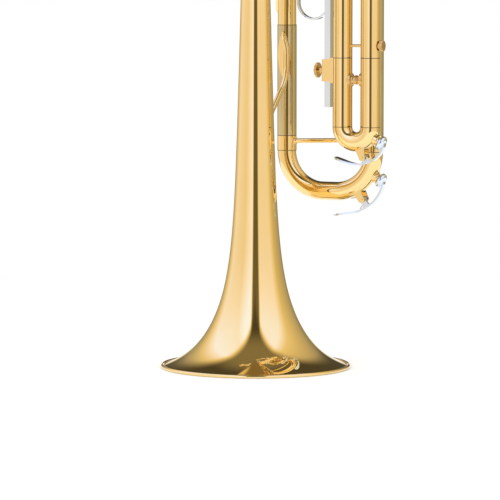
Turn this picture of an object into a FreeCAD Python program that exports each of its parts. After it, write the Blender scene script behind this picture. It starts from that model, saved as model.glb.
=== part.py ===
import FreeCAD, Part
import math
import os

# B-flat trumpet, standing on its bell.  Millimetres.
# Origin: centre of the bell mouth, on the rim plane.  +Z: along the bell axis to the mouthpiece end.
# +X: down in playing position, towards the bottom valve caps.  +Y: the player's right, the leadpipe side.

os.makedirs("parts", exist_ok=True)

# ---- bell ----
RIM_RADIUS = 61.5
BEAD_RADIUS = 1.25
BEAD_CENTRE_Z = 1.1
BELL_WALL = 0.6
FLARE_BASE = 15.95
FLARE_TAPER = 0.0268
FLARE_WIDE = 37.8
FLARE_WIDE_LENGTH = 28.0
FLARE_LIP = 10.0
FLARE_LIP_LENGTH = 5.0
FLARE_STATIONS = 26
STEM_TOP_Z = 350.0
BELL_BOW_Z = 377.0
BELL_TUBE = 13.1
BELL_TUBE_BORE = 12.0
BELL_BRANCH_X = 62.0
BELL_BRANCH_Y = 11.0
BELL_BRANCH_END_Z = 336.0

# ---- slide tubing: outer tube, inner tube and bow sizes, all diameters ----
OUTER_TUBE = 12.7
OUTER_BORE = 12.1
INNER_TUBE = 12.0
INNER_BORE = 11.4
BOW_TUBE = 12.1
JOINT_GAP = 0.2

# ---- leadpipe line and main tuning slide ----
LEADPIPE_Y = 49.0
LEADPIPE_RADIUS = 6.05
LEADPIPE_REAR_RADIUS = 5.4
LEADPIPE_FRONT_Z = 212.0
LEADPIPE_TAPER_Z = 330.0
LEADPIPE_REAR_Z = 458.0
RECEIVER_FRONT_Z = 450.0
RECEIVER_Z = 485.0
SLIDE_TUBE_TOP_Z = 220.5
TUNING_JOINT_Z = 148.3
FERRULE_BOTTOM_Z = 137.9
FERRULE_DIAMETER = 12.7
FERRULE_CHAMFER = 0.2
TUNING_LEG_TOP_Z = 209.0
TUNING_TENON = 5.0
LOWER_LEG_X = 61.9
TUNING_BEND_RADIUS = 26.2
TUNING_BEND_Z = 138.25
TUNING_BRACE_Z = (144.2, 146.0)
TUNING_BRACE_DIAMETER = 3.0
TUNING_FLANGE_DIAMETER = 4.2

# ---- valves ----
VALVE_Y = 30.0
VALVE_3_Z = 262.0
VALVE_PITCH = 24.0
CASING_RADIUS = 9.5
CASING_BORE_RADIUS = 8.5
CASING_TOP_X = -26.0
CASING_BOTTOM_X = 80.0
PISTON_RADIUS = 8.42
PISTON_INNER_RADIUS = 7.9
PISTON_TOP_X = -31.5
PISTON_DECK_X = 12.0
PISTON_BOTTOM_X = 69.0
STROKE = 16.5
PASSAGE_TUBE = 9.4
PASSAGE_BORE = 8.4
STEM_RADIUS = 2.4
CAP_RADIUS = 10.5
TOP_CAP_X = -36.0
BOTTOM_CAP_X = 88.0
CAP_SKIRT = 5.0
CAP_PLATE = 2.4
BUTTON_BOTTOM_X = -55.5
BUTTON_TOP_X = -66.0
BUTTON_RADIUS = 8.0
FELT_THICKNESS = 3.0
SPRING_WIRE = 0.9
SPRING_RADIUS = 5.8
SPRING_TURNS = 8
RUNS_PER_TURN = 12
GUIDE_TOP_X = 8.0
GUIDE_THICKNESS = 3.5
GUIDE_TAB_WIDTH = 3.0
KNUCKLE_32_X = 55.0
KNUCKLE_21_X = 38.0

# ---- braces ----
S_BRACE_DIAMETER = 3.5

# ---- valve slides ----
THIRD_LEGS_X = (47.9, 67.3)
THIRD_JOINT_Z = 200.0
THIRD_BOW_Z = 155.2
THIRD_BRACE_Z = 185.5
THIRD_STOP_Z = 207.5
THIRD_LEG_TOP_Z = 249.0
FIRST_LEGS_X = (35.0, 55.0)
FIRST_JOINT_Z = 343.0
FIRST_BOW_Z = 355.0
SECOND_LEGS_X = (34.0, 54.0)
SECOND_JOINT_Y = 60.0
SECOND_BOW_Y = 67.0
SADDLE_Z = 349.0

# ---- adjustable finger ring ----
RING_X = 27.7
RING_Z = 235.4
RING_RADIUS = 11.4
RING_BORE_RADIUS = 10.15
RING_WIDTH = 4.0
RAIL_X = (36.1, 40.1)
RAIL_DEPTH = 4.4
RAIL_Z = (167.8, 242.0)
RAIL_CLEARANCE = 0.06
BLOCK_X = (34.8, 41.8)
BLOCK_FOOT_X = (40.4, 43.4)
BLOCK_DEPTH = 8.0
BLOCK_Z = (184.4, 198.7)
SCREW_Z = 191.6
SCREW_HEAD_RADIUS = 4.9
SCREW_HEAD_X = (29.5, 31.3)

# ---- water keys: places in the X-Z plane of their slide ----
KEY_PIN_RADIUS = 0.8
KEY_HUB_RADIUS = 1.7
KEY_POST_Y = (3.0, 4.3)
KEY_SPRING_Y = (0.65, 2.45)
KEY_SPRING_RADIUS = 1.6
KEY_SPRING_TURN = -810
KEY_SPRING_WIRE = 0.5
NIPPLE_ANGLE = -30.5
NIPPLE_HEIGHT = 2.3
CORK_HEIGHT = 2.4
LEVER_THICKNESS = 1.2
# half the lever's width at shares of the way from the cup to the tip of the touch
LEVER_PLAN = ((-0.02, 1.9), (0.1, 1.9), (0.35, 1.6), (0.55, 1.8), (0.78, 3.5), (0.92, 3.8), (1.0, 2.4),
              (1.03, 0.0))
MAIN_HINGE = (54.7, 107.3)
MAIN_LEVER = ((69.0, 118.9), (68.0, 114.8), (65.8, 110.4), (62.3, 106.0), (57.7, 102.4),
              (51.6, 99.6), (44.0, 98.0), (34.7, 96.4))
MAIN_SPRING_ENDS = ((52.2, 100.9), (45.3, 107.5))
THIRD_HINGE = (63.2, 135.8)
THIRD_LEVER = ((77.2, 145.4), (76.5, 142.0), (74.6, 138.4), (71.0, 135.0), (66.2, 132.4),
               (60.5, 131.2), (52.0, 132.2), (43.0, 135.2))
THIRD_SPRING_ENDS = ((61.2, 132.3), (55.5, 139.3))

X_AXIS = FreeCAD.Vector(1, 0, 0)
Y_AXIS = FreeCAD.Vector(0, 1, 0)
Z_AXIS = FreeCAD.Vector(0, 0, 1)


# ---- building blocks ----
def at(x, y, z):
    return FreeCAD.Vector(x, y, z)


def save(name, shape):
    shape.exportStep("parts/" + name + ".step")


def rod(start, end, diameter):
    run = end - start
    return Part.makeCylinder(diameter / 2, run.Length, start, run)


def pipe(start, end, outer, bore):
    return rod(start, end, outer).cut(rod(start, end, bore))


def box(low, high):
    size = high - low
    return Part.makeBox(size.x, size.y, size.z, low)


def across(axis):
    """Any unit vector at right angles to axis."""
    other = Z_AXIS if abs(axis.z) < 0.9 else X_AXIS
    return axis.cross(other).normalize()


def disc(centre, normal, diameter):
    return Part.Face(Part.Wire(Part.makeCircle(diameter / 2, centre, normal)))


def bent_rod(start, direction, pivot, angle, diameter):
    """A round bar that leaves start along direction and turns about pivot."""
    axis = (start - pivot).cross(direction)
    return disc(start, direction, diameter).revolve(pivot, axis, angle)


def bent_pipe(start, direction, pivot, angle, outer, bore):
    solid = bent_rod(start, direction, pivot, angle, outer)
    return solid.cut(bent_rod(start, direction, pivot, angle, bore))


def lathe(base, axis, *pieces):
    """Turns an outline of (along axis, radius) pieces: two points make a line, more make a curve."""
    radial = across(axis)
    edges = []
    for piece in pieces:
        points = [base + axis * along + radial * radius for along, radius in piece]
        if len(points) == 2:
            edges.append(Part.LineSegment(points[0], points[1]).toShape())
        else:
            curve = Part.BSplineCurve()
            curve.interpolate(points)
            edges.append(curve.toShape())
    return Part.Face(Part.Wire(edges)).revolve(base, axis, 360)


def turned(base, axis, outline):
    """Turns a closed outline of straight lines."""
    closed = list(outline) + [outline[0]]
    return lathe(base, axis, *zip(closed[:-1], closed[1:]))


def knurled(base, axis, radius, depth, height, ridges):
    """A disc with V-shaped ridges round its edge."""
    first = across(axis)
    second = axis.cross(first)
    points = []
    for i in range(2 * ridges):
        angle = math.pi * i / ridges
        reach = radius if i % 2 == 0 else radius - depth
        points.append(base + first * (reach * math.cos(angle)) + second * (reach * math.sin(angle)))
    face = Part.Face(Part.makePolygon(points + [points[0]]))
    return face.extrude(axis * height)


def wire_rod(points, bend_radius, diameter):
    """A round rod through the points, with an arc at every corner."""
    ends = [points[0]]
    solids = []
    for before, corner, after in zip(points[:-2], points[1:-1], points[2:]):
        into = (corner - before).normalize()
        out = (after - corner).normalize()
        turn = into.getAngle(out)
        setback = bend_radius * math.tan(turn / 2)
        start = corner - into * setback
        inward = (out - into).normalize()
        pivot = corner + inward * (bend_radius / math.cos(turn / 2))
        solids.append(rod(ends[-1], start, diameter))
        solids.append(bent_rod(start, into, pivot, math.degrees(turn), diameter))
        ends.append(corner + out * setback)
    solids.append(rod(ends[-1], points[-1], diameter))
    return solids[0].multiFuse(solids[1:]).removeSplitter()


def bent_wire(points, diameter):
    """Spring wire: a round bar along short straight runs, mitred where they meet."""
    section = Part.Wire(Part.makeCircle(diameter / 2, points[0], points[1] - points[0]))
    return Part.makePolygon(points).makePipeShell([section], True, False, 1)


def coil_points(base, axis, length, turn, radius):
    """Points along a coil round axis, RUNS_PER_TURN to a turn; turn is in degrees and may be negative."""
    start = across(axis)
    side = axis.cross(start)
    count = round(abs(turn) * RUNS_PER_TURN / 360)
    points = []
    for i in range(count + 1):
        angle = math.radians(turn * i / count)
        spoke = start * (radius * math.cos(angle)) + side * (radius * math.sin(angle))
        points.append(base + axis * (length * i / count) + spoke)
    return points


def ribbon(points, thickness, low_y, high_y):
    """A flat strip: a smooth curve in the X-Z plane, thickened, and drawn out along Y."""
    sides = []
    for side in (0.5, -0.5):
        shifted = []
        for i, (x, z) in enumerate(points):
            x0, z0 = points[max(i - 1, 0)]
            x1, z1 = points[min(i + 1, len(points) - 1)]
            run = math.hypot(x1 - x0, z1 - z0)
            offset = side * thickness / run
            shifted.append(at(x - (z1 - z0) * offset, low_y, z + (x1 - x0) * offset))
        curve = Part.BSplineCurve()
        curve.interpolate(shifted)
        sides.append(curve)
    edges = [side.toShape() for side in sides]
    for first, last in ((sides[0].StartPoint, sides[1].StartPoint), (sides[0].EndPoint, sides[1].EndPoint)):
        edges.append(Part.LineSegment(first, last).toShape())
    outline = Part.Wire(Part.__sortEdges__(edges))
    return Part.Face(outline).extrude(Y_AXIS * (high_y - low_y))


def leaf_pad(centre, axis, facing, length, width, tube_radius, thickness):
    """A pointed pad, curved to lie on a tube that runs along axis through centre."""
    side = axis.cross(facing)
    tips = [centre + axis * (length / 2), centre - axis * (length / 2)]
    flanks = [centre + side * (width / 2), centre - side * (width / 2)]
    arcs = [Part.Arc(tips[0], flank, tips[1]).toShape() for flank in flanks]
    leaf = Part.Face(Part.Wire(arcs)).extrude(facing * (2 * tube_radius))
    start = centre - axis * length
    end = centre + axis * length
    shell = pipe(start, end, 2 * (tube_radius + thickness), 2 * tube_radius)
    return leaf.common(shell)


def flare_radius(z):
    wide = FLARE_WIDE * math.exp(-z / FLARE_WIDE_LENGTH)
    lip = FLARE_LIP * math.exp(-z / FLARE_LIP_LENGTH)
    return FLARE_BASE - FLARE_TAPER * z + wide + lip


def flare_slope(z):
    wide = FLARE_WIDE / FLARE_WIDE_LENGTH * math.exp(-z / FLARE_WIDE_LENGTH)
    lip = FLARE_LIP / FLARE_LIP_LENGTH * math.exp(-z / FLARE_LIP_LENGTH)
    return FLARE_TAPER + wide + lip


def valve_z(number):
    return VALVE_3_Z + VALVE_PITCH * (3 - number)


def casing_solid(number):
    z = valve_z(number)
    return rod(at(CASING_TOP_X, VALVE_Y, z), at(CASING_BOTTOM_X, VALVE_Y, z), 2 * CASING_RADIUS)


# ---- bell, with its stem, bow and branch in one piece ----
def bell():
    stations = []
    for i in range(FLARE_STATIONS):
        share = i / (FLARE_STATIONS - 1)
        stations.append(BEAD_CENTRE_Z + (STEM_TOP_Z - BEAD_CENTRE_Z) * share ** 2.6)
    outer = [(z, flare_radius(z)) for z in stations]
    inner = [(z, r - BELL_WALL * math.hypot(1, flare_slope(z))) for z, r in reversed(outer)]
    top = (outer[-1], inner[0])
    lip = (inner[-1], outer[0])
    flare = lathe(at(0, 0, 0), Z_AXIS, outer, top, inner, lip)
    bead = Part.makeTorus(RIM_RADIUS - BEAD_RADIUS, BEAD_RADIUS, at(0, 0, BEAD_CENTRE_Z), Z_AXIS)
    below = Part.makeCylinder(2 * RIM_RADIUS, BEAD_RADIUS, at(0, 0, -BEAD_RADIUS), Z_AXIS)
    stem_top = at(0, 0, STEM_TOP_Z)
    bow_start = at(0, 0, BELL_BOW_Z)
    pivot = at(BELL_BRANCH_X / 2, BELL_BRANCH_Y / 2, BELL_BOW_Z)
    bow_end = at(BELL_BRANCH_X, BELL_BRANCH_Y, BELL_BOW_Z)
    branch_end = at(BELL_BRANCH_X, BELL_BRANCH_Y, BELL_BRANCH_END_Z)
    tube = [
        pipe(stem_top, bow_start, BELL_TUBE, BELL_TUBE_BORE),
        bent_pipe(bow_start, Z_AXIS, pivot, 180, BELL_TUBE, BELL_TUBE_BORE),
        pipe(bow_end, branch_end, BELL_TUBE, BELL_TUBE_BORE),
    ]
    return flare.multiFuse([bead.cut(below)] + tube)


def bell_elbow():
    """The short knee that leads from the first valve into the bell branch."""
    turn = VALVE_Y - CASING_RADIUS - BELL_BRANCH_Y
    top = at(BELL_BRANCH_X, BELL_BRANCH_Y, BELL_BRANCH_END_Z)
    start = at(BELL_BRANCH_X, BELL_BRANCH_Y, valve_z(1) + turn)
    pivot = start + Y_AXIS * turn
    wall = at(BELL_BRANCH_X, VALVE_Y - CASING_RADIUS, valve_z(1))
    inside = wall + Y_AXIS * CASING_RADIUS
    knee = bent_pipe(start, Z_AXIS * -1, pivot, 90, OUTER_TUBE, INNER_BORE)
    parts = [pipe(top, start, OUTER_TUBE, INNER_BORE), pipe(wall, inside, OUTER_TUBE, INNER_BORE)]
    return knee.multiFuse(parts).cut(casing_solid(1))


def bell_ferrule():
    """The sleeve over the joint between the bell branch and its elbow."""
    z = BELL_BRANCH_END_Z
    outline = ((-7, OUTER_TUBE / 2), (-7, 6.9), (-6, 7.3), (6, 7.3), (7, 7.0), (7, BELL_TUBE / 2),
               (0, BELL_TUBE / 2), (0, OUTER_TUBE / 2))
    return turned(at(BELL_BRANCH_X, BELL_BRANCH_Y, z), Z_AXIS, outline)


# ---- leadpipe line ----
def leadpipe():
    outline = (
        (LEADPIPE_FRONT_Z, LEADPIPE_RADIUS), (LEADPIPE_TAPER_Z, LEADPIPE_RADIUS),
        (LEADPIPE_REAR_Z, LEADPIPE_REAR_RADIUS), (LEADPIPE_REAR_Z, 4.5),
        (LEADPIPE_TAPER_Z, 5.5), (LEADPIPE_FRONT_Z, 5.7),
    )
    return turned(at(0, LEADPIPE_Y, 0), Z_AXIS, outline)


def receiver_outline(z):
    """Radius of the leadpipe's outside at height z, where the receiver is soldered on."""
    share = (z - LEADPIPE_TAPER_Z) / (LEADPIPE_REAR_Z - LEADPIPE_TAPER_Z)
    return LEADPIPE_RADIUS + (LEADPIPE_REAR_RADIUS - LEADPIPE_RADIUS) * share


def shank_radius(z):
    """The 1 in 20 taper that the mouthpiece shank and the receiver share."""
    return 4.9 - (RECEIVER_Z - z) / 40


def mouthpiece_receiver():
    front = RECEIVER_FRONT_Z
    rear = LEADPIPE_REAR_Z
    return lathe(
        at(0, LEADPIPE_Y, 0), Z_AXIS,
        ((front, receiver_outline(front)), (front, 6.0)),
        ((front, 6.0), (front + 2, 6.5)),
        ((front + 2, 6.5), (front + 12, 6.9), (front + 22, 7.0), (RECEIVER_Z - 7, 7.0)),
        ((RECEIVER_Z - 7, 7.0), (RECEIVER_Z - 6, 7.9)),
        ((RECEIVER_Z - 6, 7.9), (RECEIVER_Z - 3, 8.3), (RECEIVER_Z, 7.6)),
        ((RECEIVER_Z, 7.6), (RECEIVER_Z, shank_radius(RECEIVER_Z) + 0.05)),
        ((RECEIVER_Z, shank_radius(RECEIVER_Z) + 0.05), (rear, shank_radius(rear) + 0.05)),
        ((rear, shank_radius(rear) + 0.05), (rear, LEADPIPE_REAR_RADIUS)),
        ((rear, LEADPIPE_REAR_RADIUS), (front, receiver_outline(front))),
    )


def tuning_slide_outer_tubes():
    """The upper tube ends at the leadpipe and the longer lower one at the knee into the third valve."""
    knee_z = valve_z(3) - (LEADPIPE_Y - VALVE_Y - CASING_RADIUS)
    tubes = []
    for x, top in ((0, SLIDE_TUBE_TOP_Z), (LOWER_LEG_X, knee_z)):
        start = at(x, LEADPIPE_Y, TUNING_JOINT_Z)
        tubes.append(pipe(start, at(x, LEADPIPE_Y, top), OUTER_TUBE, OUTER_BORE))
    return Part.makeCompound(tubes)


def lower_slide_elbow():
    """The knee from the lower slide tube into the third valve."""
    turn = LEADPIPE_Y - VALVE_Y - CASING_RADIUS
    start = at(LOWER_LEG_X, LEADPIPE_Y, valve_z(3) - turn)
    pivot = start - Y_AXIS * turn
    wall = at(LOWER_LEG_X, VALVE_Y + CASING_RADIUS, valve_z(3))
    knee = bent_pipe(start, Z_AXIS, pivot, 90, OUTER_TUBE, INNER_BORE)
    stub = pipe(wall, wall - Y_AXIS * CASING_RADIUS, OUTER_TUBE, INNER_BORE)
    return knee.fuse(stub).cut(casing_solid(3))


# ---- mouthpiece ----
def mouthpiece():
    tip = RECEIVER_Z - 24
    top = RECEIVER_Z + 62.5
    return lathe(
        at(0, LEADPIPE_Y, 0), Z_AXIS,
        ((tip, 3.9), (tip, shank_radius(tip))),
        ((tip, shank_radius(tip)), (RECEIVER_Z + 10, shank_radius(RECEIVER_Z + 10))),
        ((RECEIVER_Z + 10, shank_radius(RECEIVER_Z + 10)), (RECEIVER_Z + 16, 5.0), (RECEIVER_Z + 22, 4.6),
         (RECEIVER_Z + 28, 5.0), (RECEIVER_Z + 34, 7.0), (RECEIVER_Z + 42, 10.2), (RECEIVER_Z + 50, 11.4),
         (RECEIVER_Z + 54, 11.9)),
        ((RECEIVER_Z + 54, 11.9), (RECEIVER_Z + 55.2, 13.3), (RECEIVER_Z + 58, 13.7),
         (RECEIVER_Z + 61, 13.2), (top, 11.2), (top - 0.8, 9.0), (top - 2.2, 8.3)),
        ((top - 2.2, 8.3), (top - 6, 7.6), (top - 10, 6.0), (top - 13, 3.9), (top - 15.5, 1.85)),
        ((top - 15.5, 1.85), (top - 22, 1.85)),
        ((top - 22, 1.85), (tip, 3.9)),
    )


# ---- main tuning slide ----
def tuning_slide_tubes():
    bottom = TUNING_JOINT_Z - TUNING_TENON
    tubes = [pipe(at(x, LEADPIPE_Y, bottom), at(x, LEADPIPE_Y, TUNING_LEG_TOP_Z), INNER_TUBE, INNER_BORE)
             for x in (0.0, LOWER_LEG_X)]
    return Part.makeCompound(tubes)


def tuning_bow_solid(diameter):
    top = TUNING_JOINT_Z - TUNING_TENON
    left = TUNING_BEND_RADIUS
    right = LOWER_LEG_X - TUNING_BEND_RADIUS
    bottom = TUNING_BEND_Z - TUNING_BEND_RADIUS
    y = LEADPIPE_Y
    solids = [
        rod(at(0, y, top), at(0, y, TUNING_BEND_Z), diameter),
        bent_rod(at(0, y, TUNING_BEND_Z), Z_AXIS * -1, at(left, y, TUNING_BEND_Z), 90, diameter),
        rod(at(left, y, bottom), at(right, y, bottom), diameter),
        bent_rod(at(right, y, bottom), X_AXIS, at(right, y, TUNING_BEND_Z), 90, diameter),
        rod(at(LOWER_LEG_X, y, TUNING_BEND_Z), at(LOWER_LEG_X, y, top), diameter),
    ]
    return solids[0].multiFuse(solids[1:])


def main_key_centre():
    return at(LOWER_LEG_X - TUNING_BEND_RADIUS, LEADPIPE_Y, TUNING_BEND_Z)


def tuning_slide_bow():
    drain = key_bore(main_key_centre(), TUNING_BEND_RADIUS)
    return tuning_bow_solid(BOW_TUBE).cut(tuning_bow_solid(INNER_BORE)).cut(drain)


def tuning_slide_ferrules():
    rings = []
    middle = TUNING_JOINT_Z - TUNING_TENON
    for x in (0.0, LOWER_LEG_X):
        outline = (
            (FERRULE_BOTTOM_Z, BOW_TUBE / 2), (FERRULE_BOTTOM_Z, FERRULE_DIAMETER / 2 - FERRULE_CHAMFER),
            (FERRULE_BOTTOM_Z + 0.5, FERRULE_DIAMETER / 2),
            (TUNING_JOINT_Z - JOINT_GAP - 0.4, FERRULE_DIAMETER / 2),
            (TUNING_JOINT_Z - JOINT_GAP, FERRULE_DIAMETER / 2 - FERRULE_CHAMFER),
            (TUNING_JOINT_Z - JOINT_GAP, INNER_TUBE / 2), (middle, INNER_TUBE / 2), (middle, BOW_TUBE / 2),
        )
        rings.append(turned(at(x, LEADPIPE_Y, 0), Z_AXIS, outline))
    return Part.makeCompound(rings)


def tuning_slide_brace():
    reach = FERRULE_DIAMETER / 2
    start = at(0, LEADPIPE_Y, TUNING_BRACE_Z[0])
    end = at(LOWER_LEG_X, LEADPIPE_Y, TUNING_BRACE_Z[1])
    cross_rod = rod(start, end, TUNING_BRACE_DIAMETER)
    flange = (end - start).normalize() * (reach + 0.5)
    flanges = [
        rod(start, start + flange, TUNING_FLANGE_DIAMETER),
        rod(end - flange, end, TUNING_FLANGE_DIAMETER),
    ]
    brace = cross_rod.multiFuse(flanges)
    low = at(0, LEADPIPE_Y, FERRULE_BOTTOM_Z)
    high = at(0, LEADPIPE_Y, TUNING_JOINT_Z)
    for shift in (0.0, LOWER_LEG_X):
        brace = brace.cut(rod(low + X_AXIS * shift, high + X_AXIS * shift, FERRULE_DIAMETER))
    return brace


# ---- water keys ----
def key_direction(angle):
    return at(math.cos(math.radians(angle)), 0, math.sin(math.radians(angle)))


def key_bore(centre, bend_radius):
    """The drain hole through the outside of the bow, under the nipple."""
    outward = key_direction(NIPPLE_ANGLE)
    return rod(centre + outward * bend_radius, centre + outward * (bend_radius + 12), 3.0)


def water_key_seat(centre, bend_radius, bow_solid, hinge):
    """Nipple, two hinge posts and the hinge pin, all soldered or screwed to the bow."""
    outward = key_direction(NIPPLE_ANGLE)
    surface = bend_radius + bow_radius(bow_solid)
    tip = centre + outward * (surface + NIPPLE_HEIGHT)
    nipple = pipe(centre + outward * bend_radius, tip, 6.0, 3.0)
    collar = pipe(centre + outward * bend_radius, tip - outward * 1.2, 7.6, 3.0)
    pivot = at(hinge[0], centre.y, hinge[1])
    inward = (centre - pivot).normalize()
    side = inward.cross(Y_AXIS)
    pieces = [nipple.fuse(collar)]
    for low, high in (KEY_POST_Y, (-KEY_POST_Y[1], -KEY_POST_Y[0])):
        face_at = pivot + Y_AXIS * low
        foot = face_at + inward * 12
        corners = [face_at + side * 2.0, foot + side * 4.2, foot - side * 4.2, face_at - side * 2.0]
        web = Part.Face(Part.makePolygon(corners + [corners[0]])).extrude(Y_AXIS * (high - low))
        eye = Part.makeCylinder(2.2, high - low, face_at, Y_AXIS)
        pieces.append(web.fuse(eye))
    pin_reach = Y_AXIS * (KEY_POST_Y[1] + 0.5)
    pin = rod(pivot - pin_reach, pivot + pin_reach, 2 * KEY_PIN_RADIUS)
    pieces = [piece.cut(bow_solid).cut(pin) for piece in pieces]
    pieces = [max(piece.Solids, key=lambda s: s.CenterOfMass.distanceToPoint(centre)) for piece in pieces]
    return Part.makeCompound(pieces + [pin])


def bow_radius(bow_solid):
    """Half the thickness of a bow across its plane."""
    return bow_solid.BoundBox.YLength / 2


def water_key_cork(centre, bend_radius, tube_radius):
    outward = key_direction(NIPPLE_ANGLE)
    start = bend_radius + tube_radius + NIPPLE_HEIGHT + 0.05
    return rod(centre + outward * start, centre + outward * (start + CORK_HEIGHT), 7.4)


def water_key_lever(centre, bend_radius, tube_radius, hinge, points):
    """Cup over the cork, curved lever with a leaf-shaped touch, and the hub round the hinge pin."""
    outward = key_direction(NIPPLE_ANGLE)
    y = centre.y
    start = bend_radius + tube_radius + NIPPLE_HEIGHT + 0.05
    base = centre + outward * (start + CORK_HEIGHT - 1.4)
    cup = lathe(
        base, outward,
        ((0, 3.7), (0, 4.8)),
        ((0, 4.8), (1.2, 4.9), (2.2, 4.4), (2.9, 3.0), (3.2, 0)),
        ((3.2, 0), (1.4, 0)),
        ((1.4, 0), (1.4, 3.7)),
        ((1.4, 3.7), (0, 3.7)),
    )
    strip = ribbon(points, LEVER_THICKNESS, y - 4.5, y + 4.5)
    cup_end, touch_end = points[0], points[-1]
    length = touch_end[0] - cup_end[0]
    ahead = [at(cup_end[0] + share * length, y + half, 0) for share, half in LEVER_PLAN]
    back = [at(cup_end[0] + share * length, y - half, 0) for share, half in reversed(LEVER_PLAN[:-1])]
    curve = Part.BSplineCurve()
    curve.interpolate(ahead + back)
    closing = Part.LineSegment(back[-1], ahead[0]).toShape()
    outline = Part.Face(Part.Wire([curve.toShape(), closing]))
    outline.translate(at(0, 0, centre.z - 80))
    lever = strip.common(outline.extrude(Z_AXIS * 100))
    pivot = at(hinge[0], y, hinge[1])
    hub = Part.makeCylinder(KEY_HUB_RADIUS, 2.9, pivot - Y_AXIS * 2.8, Y_AXIS)
    middle = nearest(points, hinge)
    foot = at(points[middle][0], y, points[middle][1])
    run = (foot - pivot).normalize()
    side = run.cross(Y_AXIS)
    low = pivot - Y_AXIS * 2.4
    reach = run * (foot - pivot).Length
    corners = [low + side * 1.5, low + reach + side * 2.4, low + reach - side * 2.4, low - side * 1.5]
    web = Part.Face(Part.makePolygon(corners + [corners[0]])).extrude(Y_AXIS * 2.4)
    bore = rod(pivot - Y_AXIS * 4, pivot + Y_AXIS * 4, 2 * KEY_PIN_RADIUS + 0.1)
    return cup.multiFuse([lever, hub, web]).cut(bore)


def nearest(points, target):
    gaps = [math.hypot(x - target[0], z - target[1]) for x, z in points]
    return gaps.index(min(gaps))


def water_key_spring(y, hinge, lever_rest, bow_rest):
    """Torsion spring on the hinge pin; its arms end at lever_rest and bow_rest, each an (X, Z) place."""
    low, high = KEY_SPRING_Y
    pivot = at(hinge[0], y + low, hinge[1])
    points = coil_points(pivot, Y_AXIS, high - low, KEY_SPRING_TURN, KEY_SPRING_RADIUS)
    lever_end = at(lever_rest[0], y + low, lever_rest[1])
    bow_end = at(bow_rest[0], y + high, bow_rest[1])
    return bent_wire([lever_end] + points + [bow_end], KEY_SPRING_WIRE)


# ---- third valve slide ----
def valve_slide_tubes(legs, start, end, outer, bore):
    """A pair of tubes at the X places in legs, each from start to end at X = 0."""
    return [pipe(start + X_AXIS * x, end + X_AXIS * x, outer, bore) for x in legs]


def third_slide_outer_tubes():
    bottom = at(0, VALVE_Y, THIRD_JOINT_Z)
    tubes = valve_slide_tubes(THIRD_LEGS_X, bottom, at(0, VALVE_Y, VALVE_3_Z), OUTER_TUBE, OUTER_BORE)
    return Part.makeCompound([tube.cut(casing_solid(3)) for tube in tubes])


def third_slide_tubes():
    low = at(0, VALVE_Y, THIRD_BOW_Z + 6)
    return Part.makeCompound(
        valve_slide_tubes(THIRD_LEGS_X, low, at(0, VALVE_Y, THIRD_LEG_TOP_Z), INNER_TUBE, INNER_BORE))


def third_slide_sleeves():
    low = at(0, VALVE_Y, THIRD_BOW_Z)
    high = at(0, VALVE_Y, THIRD_JOINT_Z - JOINT_GAP)
    return Part.makeCompound(valve_slide_tubes(THIRD_LEGS_X, low, high, OUTER_TUBE, INNER_TUBE))


def third_key_centre():
    return at(sum(THIRD_LEGS_X) / 2, VALVE_Y, THIRD_BOW_Z)


def third_bend_radius():
    return (THIRD_LEGS_X[1] - THIRD_LEGS_X[0]) / 2


def third_bow_solid(diameter):
    start = at(THIRD_LEGS_X[0], VALVE_Y, THIRD_BOW_Z)
    return bent_rod(start, Z_AXIS * -1, third_key_centre(), 180, diameter)


def third_slide_bow():
    bow = third_bow_solid(OUTER_TUBE).cut(third_bow_solid(INNER_BORE))
    tenons = valve_slide_tubes(THIRD_LEGS_X, at(0, VALVE_Y, THIRD_BOW_Z), at(0, VALVE_Y, THIRD_BOW_Z + 6),
                               INNER_TUBE, INNER_BORE)
    return bow.multiFuse(tenons).cut(key_bore(third_key_centre(), third_bend_radius()))


def third_slide_brace():
    left = THIRD_LEGS_X[0] + OUTER_TUBE / 2 - 1.6
    span = THIRD_LEGS_X[1] - THIRD_LEGS_X[0] - OUTER_TUBE + 3.2
    spool = lathe(
        at(left, VALVE_Y, THIRD_BRACE_Z), X_AXIS,
        ((0, 0), (0, 4.5)),
        ((0, 4.5), (1.9, 4.4)),
        ((1.9, 4.4), (2.6, 3.1), (span / 2 - 0.9, 2.5)),
        ((span / 2 - 0.9, 2.5), (span / 2 - 0.5, 3.0), (span / 2 + 0.5, 3.0), (span / 2 + 0.9, 2.5)),
        ((span / 2 + 0.9, 2.5), (span - 2.6, 3.1), (span - 1.9, 4.4)),
        ((span - 1.9, 4.4), (span, 4.5)),
        ((span, 4.5), (span, 0)),
        ((span, 0), (0, 0)),
    )
    for x in THIRD_LEGS_X:
        spool = spool.cut(rod(at(x, VALVE_Y, THIRD_BOW_Z), at(x, VALVE_Y, THIRD_JOINT_Z), OUTER_TUBE))
    return spool


def third_slide_stop():
    """A thin cross rod between the fixed legs and the knurled nut on the outside of the lower one."""
    left, right = [at(x, VALVE_Y, THIRD_STOP_Z) for x in THIRD_LEGS_X]
    cross_rod = rod(left, right, 1.9)
    outside = THIRD_LEGS_X[1] + OUTER_TUBE / 2
    boss = rod(at(outside - 1.5, VALVE_Y, THIRD_STOP_Z), at(outside + 0.8, VALVE_Y, THIRD_STOP_Z), 4.6)
    nut = knurled(at(outside + 0.8, VALVE_Y, THIRD_STOP_Z), X_AXIS, 3.5, 0.3, 2.1, 24)
    pieces = [cross_rod, boss.fuse(nut)]
    for x in THIRD_LEGS_X:
        leg = rod(at(x, VALVE_Y, THIRD_JOINT_Z), at(x, VALVE_Y, VALVE_3_Z), OUTER_TUBE)
        pieces = [piece.cut(leg) for piece in pieces]
    return Part.makeCompound(pieces)


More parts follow.
